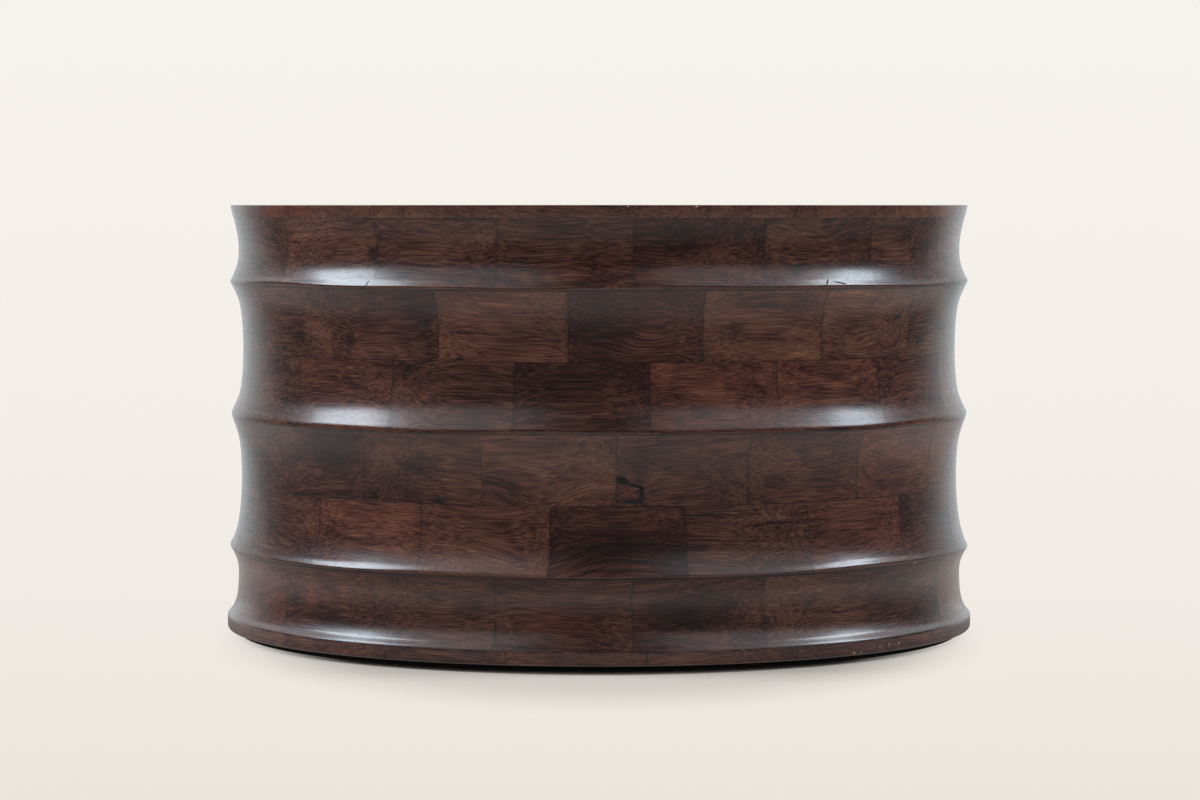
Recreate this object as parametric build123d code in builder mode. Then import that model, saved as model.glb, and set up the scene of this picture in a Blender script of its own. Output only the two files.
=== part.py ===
"""Drum table: a turned wall of six glued courses of wooden blocks under a boarded top.

Each course is a ring of flat-backed blocks. The courses, the top panel and the base ring are glued
into one blank, and the outside is then turned to four hollows (coves) with three crests between
them. A black plinth, set back under the base ring, stands on felt pads. Two battens run under the
top panel, and glue blocks tie the panel to the wall.

Millimetres and degrees. The origin is on the floor under the centre, +Z is up, and the front of the
table faces -Y. Angles round the table are measured from the front, positive towards +X.
"""

import os
from math import cos, radians, sin, sqrt, tan

from build123d import *

# Turned outside: radii are given as distances from the radius of the top edge
drum_radius = 397.0
crest_stands = [1.0, 0.5, 2.3]  # how far each crest stands out
foot_stand = 4.5
crest_rise = 3.0  # height of a crest above the glue joint under it
foot_chamfer = 3.0

# Coves from the top down: a straight flank, a hollow of one arc, and a second straight flank
cove_depths = [9.0, 13.5, 11.4, 7.7]  # how far the middle of each hollow is cut in
upper_flares = [13.5, 26.5, 20.0, 31.0]  # angles to the vertical of the flanks over the hollows
upper_flanks = [35.0, 22.0, 26.0, 15.5]  # heights of those flanks
lower_flares = [26.5, 26.5, 21.5, 22.5]
lower_flanks = [18.0, 21.0, 25.0, 27.0]

# Wall: courses of blocks, listed from the top down
block_count = 18
course_height = 71.0
course_turns = [5.0, 15.5, 7.5, 2.5, 12.8, 4.8]  # angle of one end joint of each course
crest_courses = [1, 3, 5]  # courses with a crest along their lower edge
wall_thickness = 43.0  # from the top edge's radius in to the flat back of a block
blank_allowance = 10.0  # wood outside the widest turned radius, before turning

# Top panel: boards that run left to right, each of butted blocks
top_thickness = 13.0
board_count = 11
front_board_width = 53.0
back_board_width = 30.0
board_block_length = 284.0
board_joint_step = 108.0  # shift of the butt joints from one board to the next
shortest_end_block = 45.0

# Base ring, plinth and felt pads
base_ring_thickness = 15.0
base_ring_width = 67.0
base_ring_turn = 6.8
plinth_turn = 16.8
plinth_thickness = 6.0
plinth_setback = 13.5  # from the foot in to the plinth's edge
plinth_width = 50.0
felt_thickness = 2.0
felt_size = 30.0
felt_count = 6

# Battens and glue blocks under the top
batten_spacing = 320.0
batten_width = 60.0
batten_thickness = 24.0
batten_end_gap = 4.0
batten_end_chamfer = 12.0
glue_block_length = 56.0
glue_block_depth = 22.0
glue_block_height = 26.0
glue_block_chamfer = 8.0
first_glue_block = 2  # counted in blocks of the top course
glue_block_every = 3

# Radii, heights and angles that follow
wall_inner_flat = drum_radius - wall_thickness
foot_radius = drum_radius + foot_stand
blank_radius = max(foot_radius, drum_radius + max(crest_stands)) + blank_allowance
base_ring_inner_flat = drum_radius - base_ring_width
plinth_radius = foot_radius - plinth_setback
plinth_inner_flat = plinth_radius - plinth_width
base_ring_bottom = felt_thickness + plinth_thickness
wall_bottom = base_ring_bottom + base_ring_thickness
wall_top = wall_bottom + course_height * len(course_turns)
table_height = wall_top + top_thickness
block_angle = 360.0 / block_count
FRONT = -90.0  # the front of the table, as an angle about +Z from +X


def around(count, first=0.0):
    """Evenly spaced angles round the table."""
    return [first + 360.0 * k / count for k in range(count)]


def ring_of(piece, angles, label):
    """Copies, at angles round the table, of a piece that is modelled along +X."""
    places = [Location((0, 0, 0), (0, 0, FRONT + angle)) for angle in angles]
    return Compound(label=label, children=[piece.moved(place) for place in places])


def joint_height(course):
    """Height of the glue joint under a course, counted from 1 at the top."""
    return wall_top - course * course_height


# Edges that the turned outline runs between, from the top down
outline_edges = [(drum_radius, table_height)]
for stand, course in zip(crest_stands, crest_courses):
    outline_edges.append((drum_radius + stand, joint_height(course) + crest_rise))
outline_edges.append((foot_radius, wall_bottom))


def flank_end(edge, flare, flank, towards):
    """Where the straight flank that rises or falls from an edge meets the hollow."""
    return (edge[0] - flank * tan(radians(flare)), edge[1] + towards * flank)


# The turned form: all that the lathe leaves of the glued blank
with BuildPart() as turned_form:
    with BuildSketch(Plane.XZ) as half_section:
        with BuildLine():
            for cove, depth in enumerate(cove_depths):
                upper_edge, lower_edge = outline_edges[cove : cove + 2]
                start = flank_end(upper_edge, upper_flares[cove], upper_flanks[cove], towards=-1)
                end = flank_end(lower_edge, lower_flares[cove], lower_flanks[cove], towards=1)
                middle = (drum_radius - depth, (start[1] + end[1]) / 2)
                Line(upper_edge, start)
                ThreePointArc(start, middle, end)
                Line(end, lower_edge)
            Polyline(
                (foot_radius, wall_bottom),
                (foot_radius, base_ring_bottom),
                (0, base_ring_bottom),
                (0, table_height),
                (drum_radius, table_height),
            )
        make_face()
        foot_corner = half_section.vertices().sort_by(Axis.Y)[:2].sort_by(Axis.X)[-1]
        chamfer(foot_corner, foot_chamfer)
    revolve(axis=Axis.Z)


# The plinth's outside: a plain disc
with BuildPart() as plinth_form:
    with BuildSketch(Plane.XY.offset(felt_thickness)):
        Circle(plinth_radius)
    extrude(amount=plinth_thickness)


def ring_block(form, low, height, inner_flat):
    """One block of a ring, along +X: flat on its back and ends, with the form's outside."""
    spread = blank_radius * tan(radians(block_angle / 2))
    with BuildPart() as block:
        with BuildSketch(Plane.XY.offset(low)):
            with BuildLine():
                Polyline((0, 0), (blank_radius, -spread), (blank_radius, spread), close=True)
            make_face()
            Rectangle(2 * inner_flat, 2 * spread, mode=Mode.SUBTRACT)
        extrude(amount=height)
        add(form.part, mode=Mode.INTERSECT)
    return block.part


nodes = []

# Wall courses, course_1 at the top
for number, turn in enumerate(course_turns, start=1):
    wall_block = ring_block(turned_form, joint_height(number), course_height, wall_inner_flat)
    middles = around(block_count, turn + block_angle / 2)
    nodes.append(ring_of(wall_block, middles, f"course_{number}"))

# Where the top's boards meet, from front to back
inner_boards_width = 2 * drum_radius - front_board_width - back_board_width
board_width = inner_boards_width / (board_count - 2)
first_seam = front_board_width - drum_radius
inner_seams = [first_seam + k * board_width for k in range(board_count - 1)]
seams = [-blank_radius, *inner_seams, blank_radius]


def butt_joints(number, front, back):
    """Places along X where the blocks of a board meet."""
    nearest = min(abs(front), abs(back), drum_radius)
    half_chord = sqrt(drum_radius**2 - nearest**2)
    shift = number * board_joint_step % board_block_length
    joints = [shift + k * board_block_length for k in range(-3, 3)]
    return [x for x in joints if abs(x) < half_chord - shortest_end_block]


# Top boards, top_board_01 at the front
for number, (front, back) in enumerate(zip(seams, seams[1:]), start=1):
    ends = [-blank_radius, *butt_joints(number, front, back), blank_radius]
    board_blocks = []
    for left, right in zip(ends, ends[1:]):
        with BuildPart() as board_block:
            with BuildSketch(Plane.XY.offset(wall_top)):
                with Locations(((left + right) / 2, (front + back) / 2)):
                    Rectangle(right - left, back - front)
            extrude(amount=top_thickness)
            add(turned_form.part, mode=Mode.INTERSECT)
        board_blocks.append(board_block.part)
    nodes.append(Compound(label=f"top_board_{number:02d}", children=board_blocks))

# Battens across the boards
batten_outer_side = (batten_spacing + batten_width) / 2
batten_reach = sqrt(wall_inner_flat**2 - batten_outer_side**2) - batten_end_gap
for side, x in (("left", -batten_spacing / 2), ("right", batten_spacing / 2)):
    with BuildPart() as batten:
        with BuildSketch(Plane.XY.offset(wall_top - batten_thickness)):
            with Locations((x, 0)):
                Rectangle(batten_width, 2 * batten_reach)
        extrude(amount=batten_thickness)
        lower_ends = batten.faces().sort_by(Axis.Z)[0].edges().filter_by(Axis.X)
        chamfer(lower_ends, min(batten_end_chamfer, batten_thickness / 2))
    batten.part.label = f"batten_{side}"
    nodes.append(batten.part)

# Glue blocks in the corner between the wall and the top panel
with BuildPart() as glue_block:
    with BuildSketch(Plane.XY.offset(wall_top - glue_block_height)):
        with Locations((wall_inner_flat - glue_block_depth / 2, 0)):
            Rectangle(glue_block_depth, glue_block_length)
    extrude(amount=glue_block_height)
    free_edge = glue_block.faces().sort_by(Axis.X)[0].edges().sort_by(Axis.Z)[0]
    chamfer(free_edge, min(glue_block_chamfer, glue_block_depth / 2))
backed_blocks = range(first_glue_block, block_count, glue_block_every)
glue_block_angles = [course_turns[0] + block_angle * (k + 0.5) for k in backed_blocks]
nodes.append(ring_of(glue_block.part, glue_block_angles, "glue_blocks"))

# Base ring and plinth, of thin blocks
base_block = ring_block(
    turned_form, base_ring_bottom, base_ring_thickness, base_ring_inner_flat
)
base_middles = around(block_count, base_ring_turn + block_angle / 2)
nodes.append(ring_of(base_block, base_middles, "base_ring"))

plinth_block = ring_block(plinth_form, felt_thickness, plinth_thickness, plinth_inner_flat)
plinth_middles = around(block_count, plinth_turn + block_angle / 2)
nodes.append(ring_of(plinth_block, plinth_middles, "plinth"))

# Felt pads under the plinth
with BuildPart() as felt_pad:
    with BuildSketch():
        with Locations((plinth_radius - plinth_width / 2, 0)):
            Rectangle(felt_size, felt_size)
    extrude(amount=felt_thickness)
nodes.append(ring_of(felt_pad.part, around(felt_count, 180.0 / felt_count), "felt_pads"))

os.makedirs("parts", exist_ok=True)
for node in nodes:
    export_step(node, f"parts/{node.label}.step")
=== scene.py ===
"""Looks of the drum table: stained and lacquered blocks, boards, plinth and fittings.

Metres and degrees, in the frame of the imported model: the origin is on the floor under the middle of
the drum, +Z is up and the front faces -Y. Bearings round the drum are measured from the front,
positive towards +X.
"""

import math
import random

import bmesh
import bpy
from mathutils import Matrix, Vector


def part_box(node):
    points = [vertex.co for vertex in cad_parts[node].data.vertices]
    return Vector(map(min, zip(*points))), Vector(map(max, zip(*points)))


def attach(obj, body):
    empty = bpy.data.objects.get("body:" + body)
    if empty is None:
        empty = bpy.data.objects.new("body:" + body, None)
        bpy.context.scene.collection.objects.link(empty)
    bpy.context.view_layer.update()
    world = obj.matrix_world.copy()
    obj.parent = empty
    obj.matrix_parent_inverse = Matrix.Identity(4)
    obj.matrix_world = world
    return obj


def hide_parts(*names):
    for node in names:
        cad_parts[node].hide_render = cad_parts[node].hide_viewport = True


MM = 0.001

# ---------------------------------------------------------------------------------------------
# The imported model, and the sizes that the looks take from it
# ---------------------------------------------------------------------------------------------

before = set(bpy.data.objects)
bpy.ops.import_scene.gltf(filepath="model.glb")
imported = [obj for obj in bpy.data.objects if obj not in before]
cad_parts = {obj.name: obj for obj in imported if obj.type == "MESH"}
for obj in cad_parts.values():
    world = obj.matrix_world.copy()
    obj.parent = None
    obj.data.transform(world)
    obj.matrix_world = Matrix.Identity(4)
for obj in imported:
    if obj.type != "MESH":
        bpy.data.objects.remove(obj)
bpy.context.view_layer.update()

block_count = 18
block_angle = math.radians(360 / block_count)


def low(node):
    """Height of a node's underside."""
    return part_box(node)[0].z


def high(node):
    """Height of a node's top."""
    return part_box(node)[1].z


def reach(node):
    """Largest distance of a node from the drum's axis."""
    return max(vertex.co.xy.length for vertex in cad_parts[node].data.vertices)


def flat_back(node):
    """Distance from the axis to the flat backs of a ring's blocks."""
    corner = min(vertex.co.xy.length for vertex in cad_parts[node].data.vertices)
    return corner * math.cos(block_angle / 2)


table_height = high("top_board_06")
panel_bottom = low("top_board_06")
rim_radius = reach("top_board_06")
foot_radius = reach("base_ring")
foot_height = low("course_6")
crest_rise = 3 * MM
crest_courses = ["course_1", "course_3", "course_5"]
crests = [(reach(course), low(course) + crest_rise) for course in crest_courses]

# The hollows between those edges, from the top down: flank, arc and flank, in mm, with the flares
# of the flanks in degrees from upright
cove_depths = [9.0, 13.5, 11.4, 7.7]
upper_flares = [13.5, 26.5, 20.0, 31.0]
upper_flanks = [35.0, 22.0, 26.0, 15.5]
lower_flares = [26.5, 26.5, 21.5, 22.5]
lower_flanks = [18.0, 21.0, 25.0, 27.0]
upper_dishing = [0.5, 0.4, 0.5, 0.3]  # how far the flanks are hollowed in their turn
lower_dishing = [0.7, 0.2, 1.9, 3.8]

# Where hand sanding has rounded the turned edges: length taken off each side
rim_rounding = 1.4 * MM
crest_roundings = [1.4 * MM, 3.4 * MM, 1.6 * MM]
foot_rounding = 1.3 * MM
foot_lower_rounding = 3.5 * MM
plinth_rounding = 0.8 * MM

# Narrow flat rings that keep a rounding's shading off the flat top and underside
top_ring = 2 * MM
underside_ring = 6 * MM

# How finely the outline is divided and turned, and how its hollows are sanded smooth
hollow_spacing = 2.5 * MM
steps_per_block = 16
sanding_passes = 24
sanding_clearance = 6 * MM

# How far above and below a crest its wandering reaches, how high it goes, and the crest's wear
wander_reach = 9 * MM
wander_height = 0.85 * MM
crest_wear, wear_change = 0.35 * MM, 0.12 * MM

# Distances from the axis at which the blocks' grain and the marks on it have their middles
grain_radius = 390 * MM
mark_radius = 388 * MM
mark_half_depth = 30 * MM
pith_distances = (35 * MM, 120 * MM)  # how far from a block's middle its tree's pith ran

core_allowance = 20 * MM  # how much further in the turned wedges reach, before they are cut flat
sharp_angle = 32  # sharper edges than this stay crisp

# Bearing of one end joint of each ring, and the boards' butt joints
ring_turns = {
    "course_1": 5.0,
    "course_2": 15.5,
    "course_3": 7.5,
    "course_4": 2.5,
    "course_5": 12.8,
    "course_6": 4.8,
    "base_ring": 6.8,
    "plinth": 16.8,
}
board_count = 11
board_block_length = 284 * MM
board_joint_step = 108 * MM
shortest_end_block = 45 * MM

# ---------------------------------------------------------------------------------------------
# Shader tools
# ---------------------------------------------------------------------------------------------


class Signal:
    """A node's output; arithmetic on it adds Math nodes, or Vector Math nodes for vectors."""

    def __init__(self, finish, socket):
        self.finish = finish
        self.socket = socket
        self.is_vector = socket.type in ("VECTOR", "RGBA")

    def combine(self, operation, *values):
        vector = any(isinstance(value, Signal) and value.is_vector for value in values)
        if vector:
            values = [(v, v, v) if isinstance(v, (int, float)) else v for v in values]
        kind = "VectorMath" if vector else "Math"
        return self.finish.add(kind, {"operation": operation}, dict(enumerate(values)))

    def __add__(self, other):
        return self.combine("ADD", self, other)

    def __radd__(self, other):
        return self.combine("ADD", other, self)

    def __sub__(self, other):
        return self.combine("SUBTRACT", self, other)

    def __rsub__(self, other):
        return self.combine("SUBTRACT", other, self)

    def __mul__(self, other):
        return self.combine("MULTIPLY", self, other)

    def __rmul__(self, other):
        return self.combine("MULTIPLY", other, self)

    def __truediv__(self, other):
        return self.combine("DIVIDE", self, other)

    def __abs__(self):
        return self.combine("ABSOLUTE", self)

    def least(self, other):
        return self.combine("MINIMUM", self, other)

    def most(self, other):
        return self.combine("MAXIMUM", self, other)

    def length(self):
        return self.finish.add("VectorMath", {"operation": "LENGTH"}, {0: self}, output="Value")

    def along(self, axis):
        """The vector's part along X, Y or Z."""
        return self.finish.add("SeparateXYZ", {}, {0: self}, output=axis)

    def fade(self, start, end, first=0.0, last=1.0):
        """Goes smoothly from first, at start, to last, at end."""
        settings = {"interpolation_type": "SMOOTHSTEP"}
        sockets = {"Value": self, "From Min": start, "From Max": end, "To Min": first, "To Max": last}
        if start > end:
            sockets.update({"From Min": end, "From Max": start, "To Min": last, "To Max": first})
        return self.finish.add("MapRange", settings, sockets)


class Finish:
    """The nodes of one material or of the world."""

    def __init__(self, owner):
        owner.use_nodes = True
        self.owner = owner
        self.tree = owner.node_tree
        self.tree.nodes.clear()

    def add(self, kind, settings=None, sockets=None, output=0):
        """Adds a node: its settings first, then the values or links of its sockets."""
        node = self.tree.nodes.new("ShaderNode" + kind)
        for name, value in (settings or {}).items():
            if name == "stops":
                ramp = node.color_ramp
                ramp.elements[0].position, ramp.elements[1].position = value[0][0], value[-1][0]
                for position, _ in value[1:-1]:
                    ramp.elements.new(position)
                for element, (_, colour) in zip(ramp.elements, value):
                    element.color = (*colour, 1)
            else:
                setattr(node, name, value)
        for name, value in (sockets or {}).items():
            if isinstance(value, Signal):
                self.tree.links.new(value.socket, node.inputs[name])
            else:
                socket = node.inputs[name]
                socket.default_value = (*value, 1) if socket.type == "RGBA" else value
        return Signal(self, node.outputs[output]) if len(node.outputs) else node

    def noise(self, vector, scale, detail=2.0, roughness=0.5, output="Fac"):
        sockets = {"Vector": vector, "Scale": scale, "Detail": detail, "Roughness": roughness}
        return self.add("TexNoise", {}, sockets, output)

    def mix(self, factor, first, second, blend="MIX"):
        """A colour between two colours."""
        settings = {"data_type": "RGBA", "blend_type": blend}
        return self.add("Mix", settings, {0: factor, 6: first, 7: second}, output=2)

    def surface(self, shader):
        self.add("OutputMaterial", {}, {"Surface": shader})
        return self.owner


# ---------------------------------------------------------------------------------------------
# Finishes
# ---------------------------------------------------------------------------------------------

# What the grain of the blocks that face the front shows, ring by ring: bearing and height of the
# middle (degrees, mm under the top), half its length and height (mm), and how far its right end
# leans down (degrees)
marks = {
    "rim": [
        ("chip", 14, 1.8, 1.6, 0.8, 0),
        ("chip", 4.1, 1.3, 1.2, 0.6, 0),
    ],
    "course_1": [
        ("knot", -35.7, 47, 6, 5.5, 0),
        ("swirl", -39.5, 25, 22, 9, -10),
        ("shade", -38, 22, 34, 5, -12),
        ("streak", -52.8, 38, 12, 1.2, 0),
        ("crack", -41, 59, 0.7, 6, 0),
        ("crack", -35.8, 79, 0.9, 4, 20),
        ("swirl", -23, 25, 26, 10, 0),
        ("streak", -17.4, 13, 16, 1.5, 3),
        ("shade", -8, 20, 46, 5, 5),
        ("red", -2, 62, 52, 13, 0),
        ("shade", 11.8, 32, 24, 16, 0),
        ("glow", 18.2, 46, 15, 9, 0),
        ("swirl", 35.5, 30, 44, 20, 0),
        ("knot", 30.2, 68, 6, 3.5, 0),
        ("crack", 35.3, 77, 1.1, 4.5, 35),
        ("crack", 37.6, 77.6, 9, 1.0, 10),
        ("shade", 54.2, 30, 9, 9, 0),
    ],
    "course_2": [
        ("knot", -40.7, 138, 6.5, 6, 0),
        ("shade", -52.8, 129, 12, 14, 0),
        ("glow", -46, 143, 20, 12, 25),
        ("shade", -27, 104, 16, 24, 0),
        ("streak", -20.6, 126.5, 17, 1.3, 2),
        ("streak", -21.7, 153, 15, 1.6, 0),
        ("shade", -1, 106, 26, 22, 0),
        ("swirl", 5.9, 140, 30, 14, -20),
        ("glow", 5.9, 140, 28, 11, -20),
        ("shade", 24.5, 97, 52, 8, 0),
        ("shade", 20.6, 121.5, 9, 5, 0),
        ("shade", 24.5, 131, 48, 4, 4),
        ("glow", 24.5, 144, 48, 7, 0),
        ("swirl", 42, 138, 22, 13, 15),
        ("glow", 43, 142, 20, 10, 0),
        ("swirl", 51, 128, 14, 20, 25),
        ("crack", 52.3, 114.3, 7, 2.2, 10),
        ("crack", 53.4, 131, 1.6, 12, 15),
        ("shade", 59.8, 140, 10, 9, 0),
    ],
    "course_3": [
        ("swirl", -21.9, 172, 34, 9, 0),
        ("shade", -29.7, 162, 13, 3, 0),
        ("shade", -41, 180, 30, 4, 12),
        ("glow", 9.2, 166, 10, 10, 0),
        ("glow", 25.5, 168, 9, 10, 0),
        ("swirl", 25.5, 168, 12, 10, 0),
        ("shade", 31.3, 185, 24, 5, 0),
        ("chip", 7.7, 84.4, 1.5, 0.7, 0),
    ],
    "course_4": [
        ("shade", -45, 252, 36, 20, 0),
        ("glow", -50.9, 290, 22, 5, 0),
        ("glow", -34.3, 253, 12, 10, -20),
        ("glow", -25.8, 241, 16, 7, 0),
        ("glow", -22.7, 267, 16, 11, 25),
        ("shade", -29, 258, 12, 8, 0),
        ("knot", -36, 291, 5, 3.5, 0),
        ("knot", -24.4, 294.5, 7, 2.5, 0),
        ("swirl", -8, 300, 50, 40, 0),
        ("glow", -5.2, 256, 44, 11, -8),
        ("shade", -7.7, 234, 52, 4, 0),
        ("shade", 8.3, 245, 36, 14, 0),
        ("crack", 3.4, 271, 8, 4, 25),
        ("crack", 5.5, 277, 10, 2, 14),
        ("crack", 6.3, 285, 3.4, 9, 0),
        ("crack", 5.0, 292, 13, 2.6, 6),
        ("glow", 4.3, 283, 9, 5, 10),
        ("red", 4.3, 283, 8, 5, 10),
        ("shade", 26.9, 278, 12, 7, 0),
        ("swirl", 47.6, 281, 22, 18, 0),
    ],
    "course_5": [
        ("glow", -31, 314, 22, 10, -30),
        ("swirl", -12, 362, 60, 40, 0),
        ("knot", -11.2, 350, 5, 3, 0),
        ("shade", 0, 340, 56, 16, 0),
        ("glow", 8.1, 306, 32, 7, 0),
        ("glow", 26.6, 311, 24, 9, -8),
        ("streak", 24, 318, 34, 1.4, -4),
        ("glow", 18.2, 348, 26, 10, -12),
        ("shade", 54.2, 315, 12, 18, 0),
        ("chip", 54.7, 367, 1.6, 1, 0),
    ],
    "course_6": [
        ("glow", -49.1, 389, 16, 14, 30),
        ("swirl", -49.1, 389, 16, 12, 30),
        ("shade", -52.8, 403, 9, 6, 0),
        ("swirl", -24, 400, 40, 12, 0),
        ("red", -5, 412, 40, 16, 0),
        ("shade", 14.8, 402, 44, 14, 0),
    ],
    "base_ring": [
        ("chip", 39.8, 451, 1.8, 0.8, 0),
        ("chip", 41.2, 450.8, 1.2, 0.7, 0),
        ("chip", 45.3, 447.1, 0.8, 1.2, 0),
        ("chip", 47.3, 446.5, 0.8, 1.2, 0),
        ("chip", 49.6, 446.1, 0.8, 1.2, 0),
    ],
}

stain_tones = [
    (0.00, (0.009, 0.0036, 0.0034)),
    (0.30, (0.030, 0.0093, 0.0072)),
    (0.55, (0.088, 0.0328, 0.0200)),
    (0.78, (0.150, 0.0650, 0.0345)),
    (1.00, (0.240, 0.1230, 0.0620)),
]
warm_tint = (1.25, 0.66, 0.60)
end_grain_stain = (0.010, 0.006, 0.005)
glue_line = (0.004, 0.003, 0.003)
rubbed_stain = (0.085, 0.024, 0.012)
# Near black for the joints under the crests: grime, and painted shade under the crests' overhang
joint_grime_and_shade = (0.006, 0.003, 0.002)
knot_wood = (0.005, 0.003, 0.003)
crack_shadow = (0.003, 0.003, 0.003)
chipped_wood = (0.52, 0.46, 0.40)

# Marks that only change the tone: where they begin and where they are full, as shares of their
# size, and by how much they change it
tone_marks = {
    "shade": (1.7, 0.2, -0.17),
    "glow": (1.7, 0.2, 0.14),
    "streak": (1.3, 0.4, -0.30),
}

# How far the outlines of marks stray, and which kinds stray the most
loose_wander, tight_wander = 9 * MM, 3 * MM
cloudy_marks = ("shade", "glow", "red")


def mark_place(finish, place, mark):
    """Coordinates in which a mark is a ball of radius 1 round the origin."""
    _, bearing, drop, half_length, half_height, lean = mark
    turn = math.radians(bearing)
    aside, forward = mark_radius * math.sin(turn), mark_radius * math.cos(turn)
    sockets = {
        "Vector": place,
        "Location": (aside, -forward, table_height - drop * MM),
        "Rotation": (0, math.radians(lean), turn),
        "Scale": (half_length * MM, mark_half_depth, half_height * MM),
    }
    return finish.add("Mapping", {"vector_type": "TEXTURE"}, sockets)


def effects_of(f, place, marks):
    """How far the marks push the grain and change its tone, and where they cover the stain."""
    wander = f.noise(place, 70.0, 2.0, output="Color") - 0.5
    loose_place, tight_place = place + wander * loose_wander, place + wander * tight_wander
    effects = dict.fromkeys(("push", "tone", "red", "knot", "crack", "chip"), 0.0)
    for mark in marks:
        kind, half_height = mark[0], mark[4] * MM
        local = mark_place(f, loose_place if kind in cloudy_marks else tight_place, mark)
        distance = local.length()
        if kind == "knot":
            # The grain parts round a knot, which has a dark ring and a dark heart
            effects["push"] += local.along("Z") * distance.fade(3.5, 0.4) * (0.6 * half_height)
            effects["tone"] += distance.fade(1.9, 0.8, last=-0.12)
            effects["knot"] += abs(distance - 0.80).fade(0.35, 0.0, last=0.45)
            effects["knot"] += distance.fade(0.75, 0.15, last=0.85)
        elif kind == "swirl":
            effects["push"] += distance.fade(1.5, 0.0, last=0.45 * half_height)
        elif kind in tone_marks:
            start, full, change = tone_marks[kind]
            effects["tone"] += distance.fade(start, full, last=change)
        elif kind == "red":
            effects["red"] += distance.fade(1.6, 0.1, last=0.5)
        elif kind == "crack":
            effects["crack"] += distance.fade(1.2, 0.5, last=0.9)
        elif kind == "chip":
            effects["chip"] += distance.fade(1.2, 0.6)
    for cover in ("knot", "crack", "chip"):
        if isinstance(effects[cover], Signal):
            effects[cover] = effects[cover].least(1.0)
    return effects


def gap_to(height, levels):
    """Distance from a height to the nearest of some levels."""
    gaps = [abs(height - level) for level in levels]
    nearest = gaps[0]
    for gap in gaps[1:]:
        nearest = nearest.least(gap)
    return nearest


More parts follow.
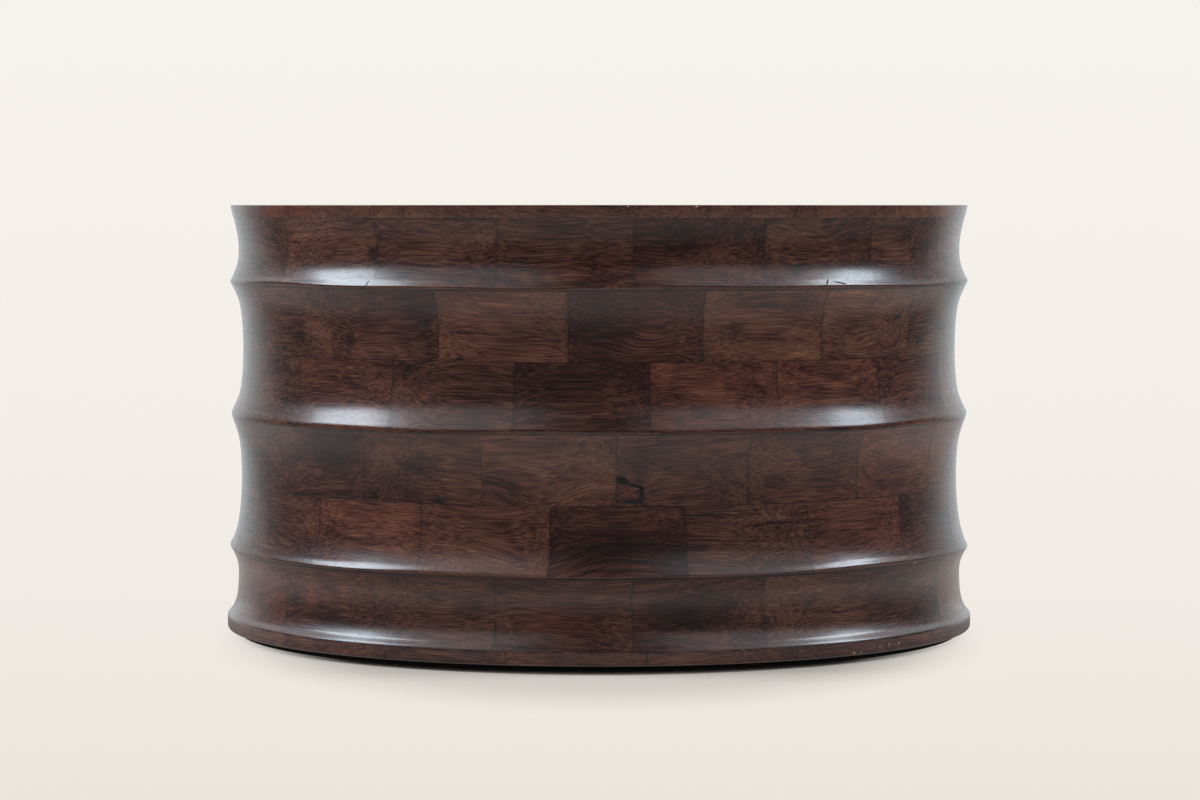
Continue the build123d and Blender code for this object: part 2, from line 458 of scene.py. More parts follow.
def stained_wood(name, marks, joint_depth=0.85):
    """Dark stain under satin lacquer, on blocks whose rings, fibres and pores show through."""
    f = Finish(bpy.data.materials.new(name))
    place = f.add("TexCoord", output="Object")
    grain = f.add("Attribute", {"attribute_name": "grain"}, output="Vector")
    pick = f.add("Attribute", {"attribute_name": "pick"}, output="Vector")
    across = f.add("Attribute", {"attribute_name": "across"}, output="Vector")
    half_size = f.add("Attribute", {"attribute_name": "half_size"}, output="Vector")
    lightness, redness, figure = (pick.along(axis) for axis in "XYZ")
    effects = effects_of(f, place, marks)

    # Rings, fibres and pores run along the block, in waves; the scales are waves per metre, first
    # along the grain and then across it
    drift = f.noise(grain * (8.0, 18.0, 18.0), 1.0, 1.5, 0.45, "Color") - 0.5
    ripple = f.noise(grain * (42.0, 28.0, 28.0), 1.0, 1.0, 0.5, "Color") - 0.5
    flow = grain + drift * (0.0, 12 * MM, 12 * MM) + ripple * (0.0, 1.2 * MM, 1.2 * MM)
    flow = flow + f.add("CombineXYZ", {}, {"Z": effects["push"]})
    ring_radius = (flow * (0.0, 1.0, 1.0)).length()
    ring_input = {"W": ring_radius * 230.0, "Scale": 1.0, "Detail": 2.0, "Roughness": 0.60}
    rings = f.add("TexNoise", {"noise_dimensions": "1D"}, ring_input)
    clouds = f.noise(flow * (12.0, 28.0, 28.0), 1.0, 2.0, 0.50)
    streaks = f.noise(flow * (5.0, 120.0, 120.0), 1.0, 3.0, 0.55)
    curl = f.noise(flow * (60.0, 22.0, 40.0), 1.0, 2.0, 0.50)
    fibres = f.noise(flow * (34.0, 950.0, 950.0), 1.0, 0.0, 0.50)
    hairs = f.noise(flow * (12.0, 440.0, 440.0), 1.0, 1.0, 0.50)
    pores = f.noise(flow * (45.0, 760.0, 760.0), 1.0, 1.0, 0.50).fade(0.57, 0.66)

    tone = lightness + effects["tone"] + (clouds - 0.5) * 0.62 + (rings - 0.5) * figure
    tone = tone + (streaks - 0.5) * 0.34 + (curl - 0.5) * 0.12
    tone = tone + (fibres - 0.5) * 0.70 + (hairs - 0.5) * 0.13 - pores * 0.12 + 0.01
    stain = f.add("ValToRGB", {"stops": stain_tones}, {"Fac": tone}, output="Color")
    warm = (redness + effects["red"]).least(1.0)
    stain = f.mix(warm, stain, f.mix(1.0, stain, warm_tint, "MULTIPLY"))

    # Dark glue joints, and block ends that took up more stain
    end_gap = (1.0 - abs(across.along("X"))) * half_size.along("X")
    edge_gap = (1.0 - abs(across.along("Y"))) * half_size.along("Y")
    uneven = f.noise(place, 38.0, 2.0)
    joint = end_gap.least(edge_gap).fade(0.75 * MM, 0.2 * MM) * uneven.fade(0.28, 0.55, 0.45)
    thirst = end_gap.fade(6 * MM, 0.0, last=0.30) * uneven
    stain = f.mix(thirst, stain, end_grain_stain)
    stain = f.mix(joint * joint_depth, stain, glue_line)

    # Grime and painted shade in the joints under the crests; stain rubbed through to red just over
    # them
    height = place.along("Z")
    rub_gap = gap_to(height, [crest_height - MM for _, crest_height in crests])
    under_crest_gap = gap_to(height, [crest_height - crest_rise for _, crest_height in crests])
    patchy = f.noise(place, 26.0, 3.0)
    rub = rub_gap.fade(2.0 * MM, 0.5 * MM) * patchy.fade(0.38, 0.62, 0.10, 0.80)
    # The dark line at each joint under a crest is grime, and painted shade from the crest's overhang
    grime_and_shade = under_crest_gap.fade(1.5 * MM, 0.6 * MM) * patchy.fade(0.62, 0.36, 0.50, 0.95)
    stain = f.mix(rub, stain, rubbed_stain)
    stain = f.mix(grime_and_shade, stain, joint_grime_and_shade)
    stain = f.mix(effects["knot"], stain, knot_wood)
    stain = f.mix(effects["crack"], stain, crack_shadow)
    stain = f.mix(effects["chip"], stain, chipped_wood)

    # The lacquer runs across the joints, but cracks and chips break it, so they are dull
    broken = effects["crack"] + effects["chip"]
    roughness = 0.28 + (fibres - 0.5) * 0.12 + pores * 0.06 + (patchy - 0.5) * 0.06
    roughness = roughness + broken * 0.55
    relief = (fibres - 0.5) * 0.40 + (hairs - 0.5) * 0.30 - pores * 0.30 - joint * 1.2
    bump = f.add("Bump", {}, {"Height": relief, "Strength": 0.20, "Distance": 0.15 * MM})
    lacquer = {
        "Base Color": stain,
        "Roughness": roughness,
        "Specular IOR Level": 0.5,
        "Coat Weight": 0.30 - broken * 0.30,
        "Coat Roughness": 0.17,
        "Normal": bump,
    }
    return f.surface(f.add("BsdfPrincipled", {}, lacquer))


def bare_wood(name):
    """Sawn wood without a finish, for what only shows from below."""
    f = Finish(bpy.data.materials.new(name))
    place = f.add("TexCoord", output="Object")
    grain = f.add("Attribute", {"attribute_name": "grain"}, output="Vector")
    drift = f.noise(grain * (6.0, 14.0, 14.0), 1.0, 2.0, output="Color") - 0.5
    flow = grain + drift * (0.0, 8 * MM, 8 * MM)
    ring_radius = (flow * (0.0, 1.0, 1.0)).length()
    ring_input = {"W": ring_radius * 190.0, "Scale": 1.0, "Detail": 2.0}
    rings = f.add("TexNoise", {"noise_dimensions": "1D"}, ring_input)
    fibres = f.noise(flow * (40.0, 600.0, 600.0), 1.0, 3.0, 0.6)
    clouds = f.noise(flow * (8.0, 20.0, 20.0), 1.0, 2.0)
    saw_marks = f.noise(place * (4.0, 4.0, 900.0), 1.0, 1.0)
    tone = 0.5 + (rings - 0.5) * 0.7 + (fibres - 0.5) * 0.5 + (clouds - 0.5) * 0.6
    stops = [(0.1, (0.20, 0.115, 0.062)), (0.5, (0.40, 0.255, 0.150)), (0.9, (0.56, 0.40, 0.26))]
    colour = f.add("ValToRGB", {"stops": stops}, {"Fac": tone}, output="Color")
    relief = (fibres - 0.5) * 0.6 + (saw_marks - 0.5) * 0.5
    bump = f.add("Bump", {}, {"Height": relief, "Strength": 0.6, "Distance": 0.3 * MM})
    sockets = {"Base Color": colour, "Roughness": 0.72 + (fibres - 0.5) * 0.2, "Normal": bump}
    return f.surface(f.add("BsdfPrincipled", {}, sockets))


def black_paint(name):
    """Matt black paint, brushed on wood."""
    f = Finish(bpy.data.materials.new(name))
    place = f.add("TexCoord", output="Object")
    mottle = f.noise(place, 60.0, 4.0)
    brush = f.noise(place * (60.0, 60.0, 700.0), 1.0, 2.0)
    stops = [(0.3, (0.0032, 0.0030, 0.0030)), (0.7, (0.0065, 0.0060, 0.0058))]
    colour = f.add("ValToRGB", {"stops": stops}, {"Fac": mottle}, output="Color")
    bump = f.add("Bump", {}, {"Height": brush, "Strength": 0.3, "Distance": 0.2 * MM})
    roughness = 0.75 + (mottle - 0.5) * 0.3
    sockets = {"Base Color": colour, "Roughness": roughness, "Normal": bump}
    sockets["Specular IOR Level"] = 0.12
    return f.surface(f.add("BsdfPrincipled", {}, sockets))


def felt(name):
    """Pressed dark wool felt."""
    f = Finish(bpy.data.materials.new(name))
    place = f.add("TexCoord", output="Object")
    hairs = f.noise(place, 900.0, 4.0, 0.7)
    stops = [(0.3, (0.030, 0.027, 0.025)), (0.75, (0.085, 0.078, 0.070))]
    colour = f.add("ValToRGB", {"stops": stops}, {"Fac": hairs}, output="Color")
    bump = f.add("Bump", {}, {"Height": hairs, "Strength": 0.8, "Distance": 0.5 * MM})
    sockets = {"Base Color": colour, "Roughness": 0.95, "Sheen Weight": 0.3, "Normal": bump}
    return f.surface(f.add("BsdfPrincipled", {}, sockets))


# ---------------------------------------------------------------------------------------------
# Modelling tools
# ---------------------------------------------------------------------------------------------


def line_to(bm, vertex, radius, height):
    """Draws a straight edge from a vertex of the outline."""
    end = bm.verts.new((radius, 0, height))
    bm.edges.new((vertex, end))
    return end


def arc_to(bm, vertex, middle, end, steps):
    """Draws the arc from a vertex of the outline through a middle point to an end point."""
    a, b = middle - vertex.co, end - vertex.co
    normal = a.cross(b)
    offset = (b.length_squared * normal.cross(a) + a.length_squared * b.cross(normal)) / (
        2 * normal.length_squared
    )
    centre = vertex.co + offset
    angle = (vertex.co - centre).angle(end - centre)
    turned = bmesh.ops.spin(
        bm,
        geom=[vertex],
        cent=centre,
        axis=normal.normalized(),
        angle=angle,
        steps=steps,
        use_duplicate=False,
    )
    return turned["geom_last"][0]


def turned_outline(bm, core):
    """Wire round half the drum's section, from the rim down the outside and back up the core."""
    edges = [(rim_radius, table_height), *crests, (foot_radius, foot_height)]
    vertex = bm.verts.new((rim_radius, 0, table_height))
    first, edge_vertices = vertex, [vertex]
    for cove, (upper, lower) in enumerate(zip(edges, edges[1:])):
        fall, rise = upper_flanks[cove] * MM, lower_flanks[cove] * MM
        start_radius = upper[0] - fall * math.tan(math.radians(upper_flares[cove]))
        end_radius = lower[0] - rise * math.tan(math.radians(lower_flares[cove]))
        start_height, end_height = upper[1] - fall, lower[1] + rise
        middle_radius = rim_radius - cove_depths[cove] * MM
        hollow_start = Vector((start_radius, 0, start_height))
        hollow_middle = Vector((middle_radius, 0, (start_height + end_height) / 2))
        hollow_end = Vector((end_radius, 0, end_height))
        lower_edge = Vector((lower[0], 0, lower[1]))
        dish = Vector((-MM, 0, 0))
        upper_middle = (vertex.co + hollow_start) / 2 + dish * upper_dishing[cove]
        lower_middle = (hollow_end + lower_edge) / 2 + dish * lower_dishing[cove]
        vertex = arc_to(bm, vertex, upper_middle, hollow_start, steps=3)
        vertex = arc_to(bm, vertex, hollow_middle, hollow_end, steps=8)
        vertex = arc_to(bm, vertex, lower_middle, lower_edge, steps=3)
        edge_vertices.append(vertex)
    foot_bottom = line_to(bm, vertex, foot_radius, low("base_ring"))
    vertex = line_to(bm, foot_bottom, foot_radius - underside_ring, low("base_ring"))
    vertex = line_to(bm, vertex, core, low("base_ring"))
    vertex = line_to(bm, vertex, core, table_height)
    bm.edges.new((vertex, first))
    return edge_vertices, foot_bottom


def round_off(bm, corners, offset, segments, affect="VERTICES"):
    """Rounds corners of an outline, or edges of a solid; one segment cuts them off straight."""
    bmesh.ops.bevel(
        bm,
        geom=corners,
        offset=offset,
        offset_type="OFFSET",
        segments=segments,
        profile=0.5,
        affect=affect,
        material=-1,
    )


def mesh_of(bm, name):
    """The mesh of a shape that is finished."""
    mesh = bpy.data.meshes.new(name)
    bm.to_mesh(mesh)
    bm.free()
    return mesh


def ease_hollows(bm, core):
    """Divides the outline finely and sands the hollows smooth, clear of the crests."""
    for edge in list(bm.edges):
        if min(vertex.co.x for vertex in edge.verts) > core + MM:
            cuts = math.ceil(edge.calc_length() / hollow_spacing) - 1
            if cuts > 0:
                bmesh.ops.subdivide_edges(bm, edges=[edge], cuts=cuts)
    heights = [table_height, foot_height, *(height for _, height in crests)]
    hollows = [
        vertex
        for vertex in bm.verts
        if vertex.co.x > core + MM
        and vertex.co.z > foot_height
        and min(abs(vertex.co.z - height) for height in heights) > sanding_clearance
    ]
    for _ in range(sanding_passes):
        bmesh.ops.smooth_vert(
            bm, verts=hollows, factor=0.5, use_axis_x=True, use_axis_y=False, use_axis_z=True
        )


def spin_wedge(bm):
    """Turns the outline in XZ into a closed wedge of one block's angle, its middle along -Y."""
    outline = list(bm.edges)
    turned = bmesh.ops.spin(
        bm,
        geom=list(bm.verts) + outline,
        cent=(0, 0, 0),
        axis=(0, 0, 1),
        angle=block_angle,
        steps=steps_per_block,
        use_duplicate=False,
    )
    last = [part for part in turned["geom_last"] if isinstance(part, bmesh.types.BMEdge)]
    bmesh.ops.edgeloop_fill(bm, edges=outline)
    bmesh.ops.edgeloop_fill(bm, edges=last)
    bmesh.ops.recalc_face_normals(bm, faces=bm.faces)
    turn = Matrix.Rotation(-math.pi / 2 - block_angle / 2, 4, "Z")
    bmesh.ops.transform(bm, matrix=turn, verts=bm.verts)


def cut_off(bm, point, normal):
    """Takes off what lies on the normal's side of a plane, and closes the cut."""
    everything = bm.verts[:] + bm.edges[:] + bm.faces[:]
    cut = bmesh.ops.bisect_plane(
        bm, geom=everything, dist=1e-7, plane_co=point, plane_no=normal, clear_outer=True
    )
    edges = [part for part in cut["geom_cut"] if isinstance(part, bmesh.types.BMEdge)]
    if edges:
        bmesh.ops.edgeloop_fill(bm, edges=edges)


def hand_turned(place):
    """Where a point of the outside ends up, as the crests wander a little round the drum."""
    radius = place.xy.length
    if radius < flat_limit:
        return place
    bearing = math.atan2(place.x, -place.y)
    moved = place.copy()
    for number, (_, height) in enumerate(crests):
        near = math.exp(-(((place.z - height) / wander_reach) ** 2))
        sway = math.sin(5 * bearing + 1.7 * number) + 0.7 * math.sin(11 * bearing + 2.9 * number)
        moved.z += near * sway * wander_height
        wear = math.sin(8 * bearing + 0.8 * number) + math.sin(19 * bearing + 2.1 * number)
        moved.xy = moved.xy * (1 - near * (crest_wear + wear_change * wear) / radius)
    return moved


def add_solid(bm, solid, turn, board, lightness, redness, figure, half_length, half_height):
    """Adds a copy of a block, turned into place, and notes how its wood was cut and picked.

    board is a random source for the block, and the solid's own X runs along its grain.
    """
    grain_layer = bm.verts.layers.float_vector["grain"]
    pick_layer = bm.verts.layers.float_vector["pick"]
    across_layer = bm.verts.layers.float_vector["across"]
    size_layer = bm.verts.layers.float_vector["half_size"]
    pith_bearing = board.uniform(0, math.tau)
    pith_distance = board.uniform(*pith_distances)
    pith = Vector(
        (
            board.uniform(0, 4),
            pith_distance * math.cos(pith_bearing),
            pith_distance * math.sin(pith_bearing),
        )
    )
    lean_in, lean_up, bow = board.gauss(0, 0.08), board.gauss(0, 0.04), board.gauss(0, 0.5)
    before = len(bm.verts)
    bm.from_mesh(solid.mesh)
    bm.verts.ensure_lookup_table()
    for vertex in bm.verts[before:]:
        local = vertex.co - solid.middle
        rise = lean_up * local.x + bow * local.x**2
        vertex[grain_layer] = local + pith + Vector((0, lean_in * local.x, -rise))
        vertex[pick_layer] = (lightness, redness, figure)
        vertex[across_layer] = solid.across(vertex.co)
        vertex[size_layer] = (half_length, half_height, 0)
        vertex.co = turn @ vertex.co


class Solid:
    """One block or board block, before it is put in place, with its middle for its grain."""

    def __init__(self, bm, middle, across):
        self.mesh = mesh_of(bm, "block")
        self.middle = middle
        self.across = across


def new_piece_mesh():
    """An empty shape that can hold what add_solid notes."""
    bm = bmesh.new()
    for name in ("grain", "pick", "across", "half_size"):
        bm.verts.layers.float_vector.new(name)
    return bm


def finish_piece(bm, name, nodes, materials):
    """Makes the object that stands for its CAD nodes."""
    mesh = mesh_of(bm, name)
    mesh.shade_smooth()
    mesh.set_sharp_from_angle(angle=math.radians(sharp_angle))
    for material in materials:
        mesh.materials.append(material)
    piece = bpy.data.objects.new(name, mesh)
    bpy.context.scene.collection.objects.link(piece)
    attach(piece, "root")
    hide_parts(*nodes)


def bare_where(bm, is_bare):
    """Gives the second material to the faces that were never stained."""
    for face in bm.faces:
        if is_bare(face):
            face.material_index = 1


# ---------------------------------------------------------------------------------------------
# Pieces
# ---------------------------------------------------------------------------------------------

bare = bare_wood("bare_wood")
core_radius = flat_back("base_ring") - core_allowance
flat_limit = flat_back("course_1")

# The few blocks that stand out at the front, by a bearing that falls on them; all the others are
# picked at random, half of them middling. A pick is a lightness, a redness and a figure.
standouts = {
    "course_1": {15: "dark"},
    "course_2": {-14: "light", 6: "dark"},
    "course_3": {-42: "warm", -2: "dark"},
    "course_4": {-48: "dark", -8: "light"},
    "course_5": {-37: "warm", 3: "dark"},
    "course_6": {15: "dark"},
}
picks = {
    "dark": (0.36, 0.15, 0.26),
    "middling": (0.45, 0.12, 0.30),
    "warm": (0.49, 0.38, 0.32),
    "light": (0.55, 0.12, 0.28),
}
common_picks = ["dark", "middling", "middling", "middling", "warm", "light"]


def pick_of(node, block, board):
    """Lightness, redness and figure of a block of a ring, counted from the ring's first joint."""
    middle = ring_turns[node] + (block + 0.5) * 360 / block_count
    word = board.choice(common_picks)
    for bearing, standout in standouts.get(node, {}).items():
        if abs((middle - bearing + 180) % 360 - 180) < 180 / block_count:
            word = standout
    lightness, redness, figure = picks[word]
    return (
        lightness + board.uniform(-0.03, 0.03),
        redness + board.uniform(-0.10, 0.15),
        figure + board.uniform(-0.12, 0.20),
    )


def block_solid(wedge, node, lowest, highest):
    """The block of a ring between two heights, cut from the turned wedge."""
    bm = bmesh.new()
    bm.from_mesh(wedge)
    cut_off(bm, (0, 0, lowest), (0, 0, -1))
    cut_off(bm, (0, 0, highest), (0, 0, 1))
    cut_off(bm, (0, -flat_back(node), 0), (0, 1, 0))
    bmesh.ops.recalc_face_normals(bm, faces=bm.faces)
    middle_height, half_height = (lowest + highest) / 2, (highest - lowest) / 2

    def across(place):
        bearing = math.atan2(place.x, -place.y)
        return (bearing / (block_angle / 2), (place.z - middle_height) / half_height, 0)

    return Solid(bm, Vector((0, -grain_radius, middle_height)), across)


def ring_piece(wedge, node, name, materials):
    """A ring of blocks that meet end to end."""
    lowest, highest = low(node), high(node)
    solid = block_solid(wedge, node, lowest, highest)
    bm = new_piece_mesh()
    half_length = reach(node) * block_angle / 2
    for block in range(block_count):
        board = random.Random(f"{node} {block}")
        bearing = math.radians(ring_turns[node]) + (block + 0.5) * block_angle
        pick = pick_of(node, block, board)
        turn = Matrix.Rotation(bearing, 4, "Z")
        add_solid(bm, solid, turn, board, *pick, half_length, (highest - lowest) / 2)
    back = flat_back(node) / math.cos(block_angle / 2) + MM

    def is_bare(face):
        """Whether a face is a sawn back, or is glued to the next ring and shows only inside."""
        if abs(face.normal.z) > 0.99:
            return face.calc_center_median().z > low("base_ring") + MM
        return abs(face.normal.z) < 0.5 and all(v.co.xy.length < back for v in face.verts)

    bare_where(bm, is_bare)
    for vertex in bm.verts:
        vertex.co = hand_turned(vertex.co)
    finish_piece(bm, name, [node], materials)


# The turned wall and base ring
outline = bmesh.new()
edge_vertices, foot_bottom = turned_outline(outline, core_radius)
round_off(outline, [foot_bottom], foot_lower_rounding, 4)
round_off(outline, edge_vertices[:1], rim_rounding, 3)
for vertex, crest_rounding in zip(edge_vertices[1:-1], crest_roundings):
    round_off(outline, [vertex], crest_rounding, 5)
round_off(outline, edge_vertices[-1:], foot_rounding, 3)
ease_hollows(outline, core_radius)
spin_wedge(outline)
turned_wedge = mesh_of(outline, "turned_wedge")

for course in ["course_1", "course_2", "course_3", "course_4", "course_5", "course_6"]:
    wood = stained_wood("stained_" + course, marks[course])
    ring_piece(turned_wedge, course, "turned_" + course, [wood, bare])
base_wood = stained_wood("stained_base_ring", marks["base_ring"])
ring_piece(turned_wedge, "base_ring", "turned_base_ring", [base_wood, bare])

# The plinth, a ring of plain blocks
plinth_outline = bmesh.new()
plinth_radius = reach("plinth")
plinth_core = flat_back("plinth") - core_allowance
corner = plinth_outline.verts.new((plinth_radius, 0, high("plinth")))
lower_corner = line_to(plinth_outline, corner, plinth_radius, low("plinth"))
inner_corner = line_to(plinth_outline, lower_corner, plinth_core, low("plinth"))
upper_corner = line_to(plinth_outline, inner_corner, plinth_core, high("plinth"))
plinth_outline.edges.new((upper_corner, corner))
round_off(plinth_outline, [lower_corner], plinth_rounding, 2)
spin_wedge(plinth_outline)
plinth_wedge = mesh_of(plinth_outline, "plinth_wedge")
paint = black_paint("black_paint")
ring_piece(plinth_wedge, "plinth", "painted_plinth", [paint, paint])

# The top's boards
panel_thickness = table_height - panel_bottom
panel_lower_radius = rim_radius - panel_thickness * math.tan(math.radians(upper_flares[0]))
board_wood = stained_wood("stained_boards", marks["rim"], joint_depth=0.45)


def round_panel():
    """The whole top panel, turned and with its upper edge eased."""
    bm = bmesh.new()
    bmesh.ops.create_cone(
        bm,
        cap_ends=True,
        cap_tris=False,
        segments=288,
        radius1=panel_lower_radius,
        radius2=rim_radius,
        depth=panel_thickness,
        matrix=Matrix.Translation((0, 0, (table_height + panel_bottom) / 2)),
    )
    rim = [e for e in bm.edges if all(v.co.z > table_height - MM for v in e.verts)]
    round_off(bm, rim, rim_rounding, 3, "EDGES")
    top = max(bm.faces, key=lambda face: face.calc_center_median().z)
    bmesh.ops.inset_region(bm, faces=[top], thickness=top_ring, use_even_offset=True)
    return mesh_of(bm, "round_panel")


def butt_joints(number, front, back):
    """Places along X where the blocks of a board meet."""
    nearest = min(abs(front), abs(back))
    half_chord = math.sqrt(max(rim_radius**2 - nearest**2, 0))
    shift = number * board_joint_step % board_block_length
    joints = [shift + k * board_block_length for k in range(-3, 3)]
    return [x for x in joints if abs(x) < half_chord - shortest_end_block]


def board_piece(panel, number):
    """One board of the top, made of butted blocks."""
    node = f"top_board_{number:02d}"
    bm = new_piece_mesh()
    front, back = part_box(node)[0].y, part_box(node)[1].y
    outside = 2 * rim_radius
    ends = [-outside, *butt_joints(number, front, back), outside]
    for k, (left, right) in enumerate(zip(ends, ends[1:])):
        board = random.Random(f"{node} {k}")
        block = bmesh.new()
        block.from_mesh(panel)
        if number > 1:
            cut_off(block, (0, front, 0), (0, -1, 0))
        if number < board_count:
            cut_off(block, (0, back, 0), (0, 1, 0))
        if k > 0:
            cut_off(block, (left, 0, 0), (-1, 0, 0))
        if k < len(ends) - 2:
            cut_off(block, (right, 0, 0), (1, 0, 0))
        bmesh.ops.recalc_face_normals(block, faces=block.faces)
        half_length, half_width = (right - left) / 2, (back - front) / 2
        middle = Vector(((left + right) / 2, (front + back) / 2, table_height))

        def across(place, middle=middle, half_length=half_length, half_width=half_width):
            return ((place.x - middle.x) / half_length, (place.y - middle.y) / half_width, 0)

        solid = Solid(block, middle, across)
        lightness, redness, figure = picks[board.choice(common_picks)]
        pick = (lightness + board.uniform(0.08, 0.16), redness, figure)
        add_solid(bm, solid, Matrix(), board, *pick, half_length, half_width)
    bare_where(bm, lambda face: face.normal.z < -0.9)
    for vertex in bm.verts:
        vertex.co = hand_turned(vertex.co)
    finish_piece(bm, f"top_plank_{number:02d}", [node], [board_wood, bare])


panel = round_panel()
for number in range(1, board_count + 1):
    board_piece(panel, number)

# Felt pads keep their CAD shape
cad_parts["felt_pads"].data.materials.clear()
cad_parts["felt_pads"].data.materials.append(felt("felt"))


# Battens and glue blocks, sawn and squared
batten_chamfer, batten_ease = 12 * MM, 1.2 * MM
glue_block_length, glue_block_depth, glue_block_chamfer = 56 * MM, 22 * MM, 8 * MM


def squared_wood(low_corner, high_corner):
    """A squared length of wood between two corners."""
    bm = bmesh.new()
    middle = Matrix.Translation((low_corner + high_corner) / 2)
    size = Matrix.Diagonal((*(high_corner - low_corner), 1))
    bmesh.ops.create_cube(bm, size=1, matrix=middle @ size)
    return bm


def batten_wood(low_corner, high_corner):
    """A batten, its edges eased and the lower edge of its ends cut back."""
    bm = squared_wood(low_corner, high_corner)
    ends = [
        e
        for e in bm.edges
        if all(v.co.z < low_corner.z + MM for v in e.verts)
        and abs(e.verts[0].co.x - e.verts[1].co.x) > MM
    ]
    round_off(bm, ends, batten_chamfer, 1, "EDGES")
    round_off(bm, bm.edges[:], batten_ease, 2, "EDGES")
    return bm


def note_grain(bm, lengthwise, board):
    """Notes the grain of one sawn piece, which runs along a direction."""
    layer = bm.verts.layers.float_vector.new("grain")
    side = Vector((0, 0, 1)).cross(lengthwise)
    pith = Vector((board.uniform(0, 4), board.uniform(20, 70) * MM, board.uniform(20, 70) * MM))
    for vertex in bm.verts:
        local = Vector((vertex.co.dot(lengthwise), vertex.co.dot(side), vertex.co.z))
        vertex[layer] = local + pith


def glue_block(number):
    """The glue block behind a block of the top course, its free lower edge cut back."""
    lowest = Vector((-glue_block_length / 2, -flat_limit, low("glue_blocks")))
    highest = Vector((glue_block_length / 2, glue_block_depth - flat_limit, high("glue_blocks")))
    block = squared_wood(lowest, highest)
    free_edge = [
        e
        for e in block.edges
        if all(v.co.z < lowest.z + MM and v.co.y > highest.y - MM for v in e.verts)
    ]
    round_off(block, free_edge, glue_block_chamfer, 1, "EDGES")
    note_grain(block, Vector((1, 0, 0)), random.Random(f"glue block {number}"))
    bearing = math.radians(ring_turns["course_1"]) + (number + 0.5) * block_angle
    bmesh.ops.transform(block, matrix=Matrix.Rotation(bearing, 4, "Z"), verts=block.verts)
    return mesh_of(block, "glue_block")


for side in ("left", "right"):
    node = "batten_" + side
    batten = batten_wood(*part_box(node))
    note_grain(batten, Vector((0, 1, 0)), random.Random(node))
    finish_piece(batten, "sawn_batten_" + side, [node], [bare])

glue_blocks = bmesh.new()
glue_blocks.verts.layers.float_vector.new("grain")
for number in range(2, block_count, 3):
    glue_blocks.from_mesh(glue_block(number))
finish_piece(glue_blocks, "sawn_glue_blocks", ["glue_blocks"], [bare])


# ---------------------------------------------------------------------------------------------
# Stage, lights and camera
# ---------------------------------------------------------------------------------------------

# The horizon's rise over the middle of a picture 1200 pixels wide, and the focal length, in pixels
horizon_rise, focal_length = 195, 3879
camera_pitch = math.degrees(math.atan(horizon_rise / focal_length))
camera_distance = 4.2
camera_height = table_height
camera_aside = 1.1 * MM
camera_lens, sensor_width = 116.4, 36

lamp_distance, lamp_height = 4.3, 1.6
lamp_radiance, lamp_colour = 12.4, (0.77, 0.89, 1.0)

floor_radius = 40
open_radius, open_blur = 330 * MM, 5 * MM  # where the floor is clear under the open drum

# What the camera sees behind the drum, by height of the line of sight in degrees
backdrop_tones = [(-9.0, (236, 229, 221)), (-4.0, (242, 237, 231)), (3.0, (246, 243, 236))]


def linear(colour):
    """The light of a colour given as it shows on a screen."""
    return tuple(((c / 255 + 0.055) / 1.055) ** 2.4 for c in colour)


def backdrop_colour(finish, rise):
    """The backdrop's colour at a rise of the line of sight, in degrees."""
    first, last = backdrop_tones[0][0], backdrop_tones[-1][0]
    share = (rise - first) / (last - first)
    stops = [((at - first) / (last - first), linear(tone)) for at, tone in backdrop_tones]
    return finish.add("ValToRGB", {"stops": stops}, {"Fac": share}, output="Color")


def mirrored_backdrop(finish, behind):
    """What the lacquer mirrors low down: pale behind the drum and dim in front of it."""
    dim, pale = (0.068, 0.070, 0.078), (0.87, 0.96, 1.00)
    return finish.mix(behind.fade(0.42, 0.98), dim, pale)


def lay_floor():
    """A pale floor that keeps the drum's shadow and runs into the backdrop."""
    bm = bmesh.new()
    bmesh.ops.create_circle(bm, cap_ends=True, segments=96, radius=floor_radius)
    mesh = mesh_of(bm, "floor")
    floor = bpy.data.objects.new("floor", mesh)
    bpy.context.scene.collection.objects.link(floor)
    f = Finish(bpy.data.materials.new("floor"))
    place = f.add("TexCoord", output="Object")
    away = (place.along("Y") + camera_distance).most(0.4)
    drop = f.add("Math", {"operation": "ARCTAN2"}, {0: -camera_height, 1: away})
    tone = backdrop_colour(f, drop * (180 / math.pi))
    seen = f.add("LightPath", output="Is Camera Ray")
    mirrored = f.add("LightPath", output="Is Glossy Ray")
    distance = place.length()
    gleam = mirrored_backdrop(f, place.along("Y") / distance)
    # To the lacquer, the floor near the drum shows a painted shadow, darker close to it; further off,
    # the mirrored backdrop
    shaded, lit = (0.28, 0.27, 0.27), (0.62, 0.59, 0.59)
    nearby = f.mix(distance.fade(0.40, 0.62), shaded, lit)
    gleam = f.mix(distance.fade(0.55, 2.6), nearby, gleam)
    shown = f.add("Emission", {}, {"Color": f.mix(mirrored, tone, gleam), "Strength": 1.0})
    matt = f.add("BsdfDiffuse", {}, {"Color": (0.80, 0.705, 0.60)})
    spread = (place * (1.7, 1.0, 1.0)).length()
    near = (spread.fade(0.50, 0.72) * seen).most(mirrored)
    both = f.add("MixShader", {}, {0: near, 1: matt, 2: shown})
    # Clear from below, and under the open drum, whose inside is lit from there
    under_drum = distance.fade(open_radius + open_blur, open_radius - open_blur)
    below = f.add("NewGeometry", output="Backfacing").most(under_drum)
    clear = f.add("BsdfTransparent")
    mesh.materials.append(f.surface(f.add("MixShader", {}, {0: below, 1: both, 2: clear})))


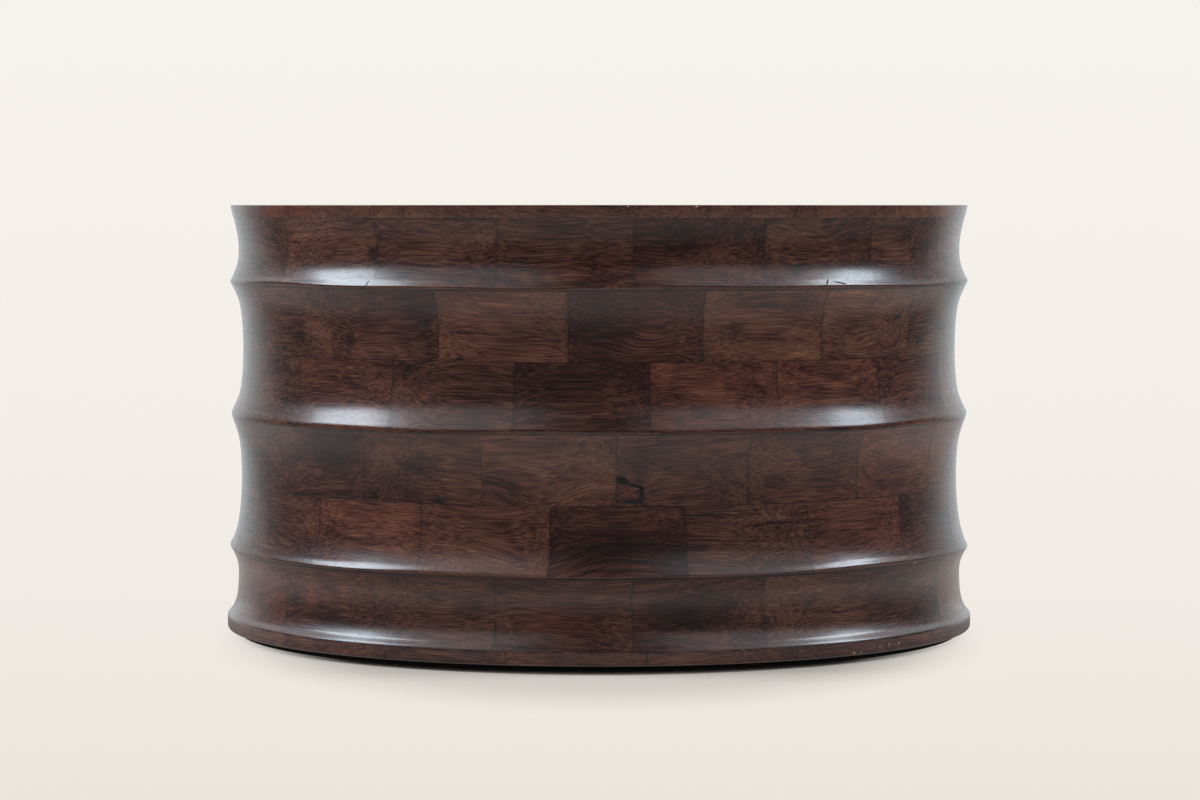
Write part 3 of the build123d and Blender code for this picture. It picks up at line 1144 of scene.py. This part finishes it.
def light_world():
    """Pale all round to the eye; to the lacquer, dim in front, and pale behind and high aside."""
    world = bpy.data.worlds.new("studio")
    bpy.context.scene.world = world
    f = Finish(world)
    direction = f.add("TexCoord", output="Generated")
    rise = f.add("Math", {"operation": "ARCSINE"}, {0: direction.along("Z")}) * (180 / math.pi)
    shown = backdrop_colour(f, rise)
    mirrored = mirrored_backdrop(f, direction.along("Y"))
    aside = abs(direction.along("X")).fade(0.1, 0.5, 0.0, 1.3)
    overhead = direction.along("Z").fade(0.25, 0.60) * aside
    mirrored = mirrored + f.mix(overhead, (0, 0, 0), (0.86, 0.93, 1.0))
    fill = (0.50, 0.505, 0.515)
    seen = f.add("LightPath", output="Is Camera Ray")
    glossy = f.add("LightPath", output="Is Glossy Ray")
    colour = f.mix(seen, f.mix(glossy, fill, mirrored), shown)
    f.add("OutputWorld", {}, {"Surface": f.add("Background", {}, {"Color": colour})})


def hang_light(name, direction, width):
    """A soft box that faces the drum, its width level."""
    light = bpy.data.lights.new(name, "AREA")
    light.shape = "RECTANGLE"
    light.size, light.size_y = width, lamp_height
    light.energy = lamp_radiance * math.pi * width * lamp_height
    light.color = lamp_colour
    lamp = bpy.data.objects.new(name, light)
    towards = Vector(direction).normalized()
    lamp.location = Vector((0, 0, table_height / 2)) + towards * lamp_distance
    lamp.rotation_euler = towards.to_track_quat("Z", "Y").to_euler()
    lamp.visible_camera = False
    bpy.context.scene.collection.objects.link(lamp)


lay_floor()
light_world()
hang_light("left_softbox", (-0.826, -0.02, 0.563), width=1.8)
hang_light("right_softbox", (0.825, 0.01, 0.565), width=1.25)

camera_data = bpy.data.cameras.new("camera")
camera_data.sensor_width = sensor_width
camera_data.lens = camera_lens
camera = bpy.data.objects.new("camera", camera_data)
camera.location = (camera_aside, -camera_distance, camera_height)
camera.rotation_euler = (math.radians(90 - camera_pitch), 0, 0)
bpy.context.scene.collection.objects.link(camera)
bpy.context.scene.camera = camera
bpy.context.scene.view_settings.view_transform = "Standard"
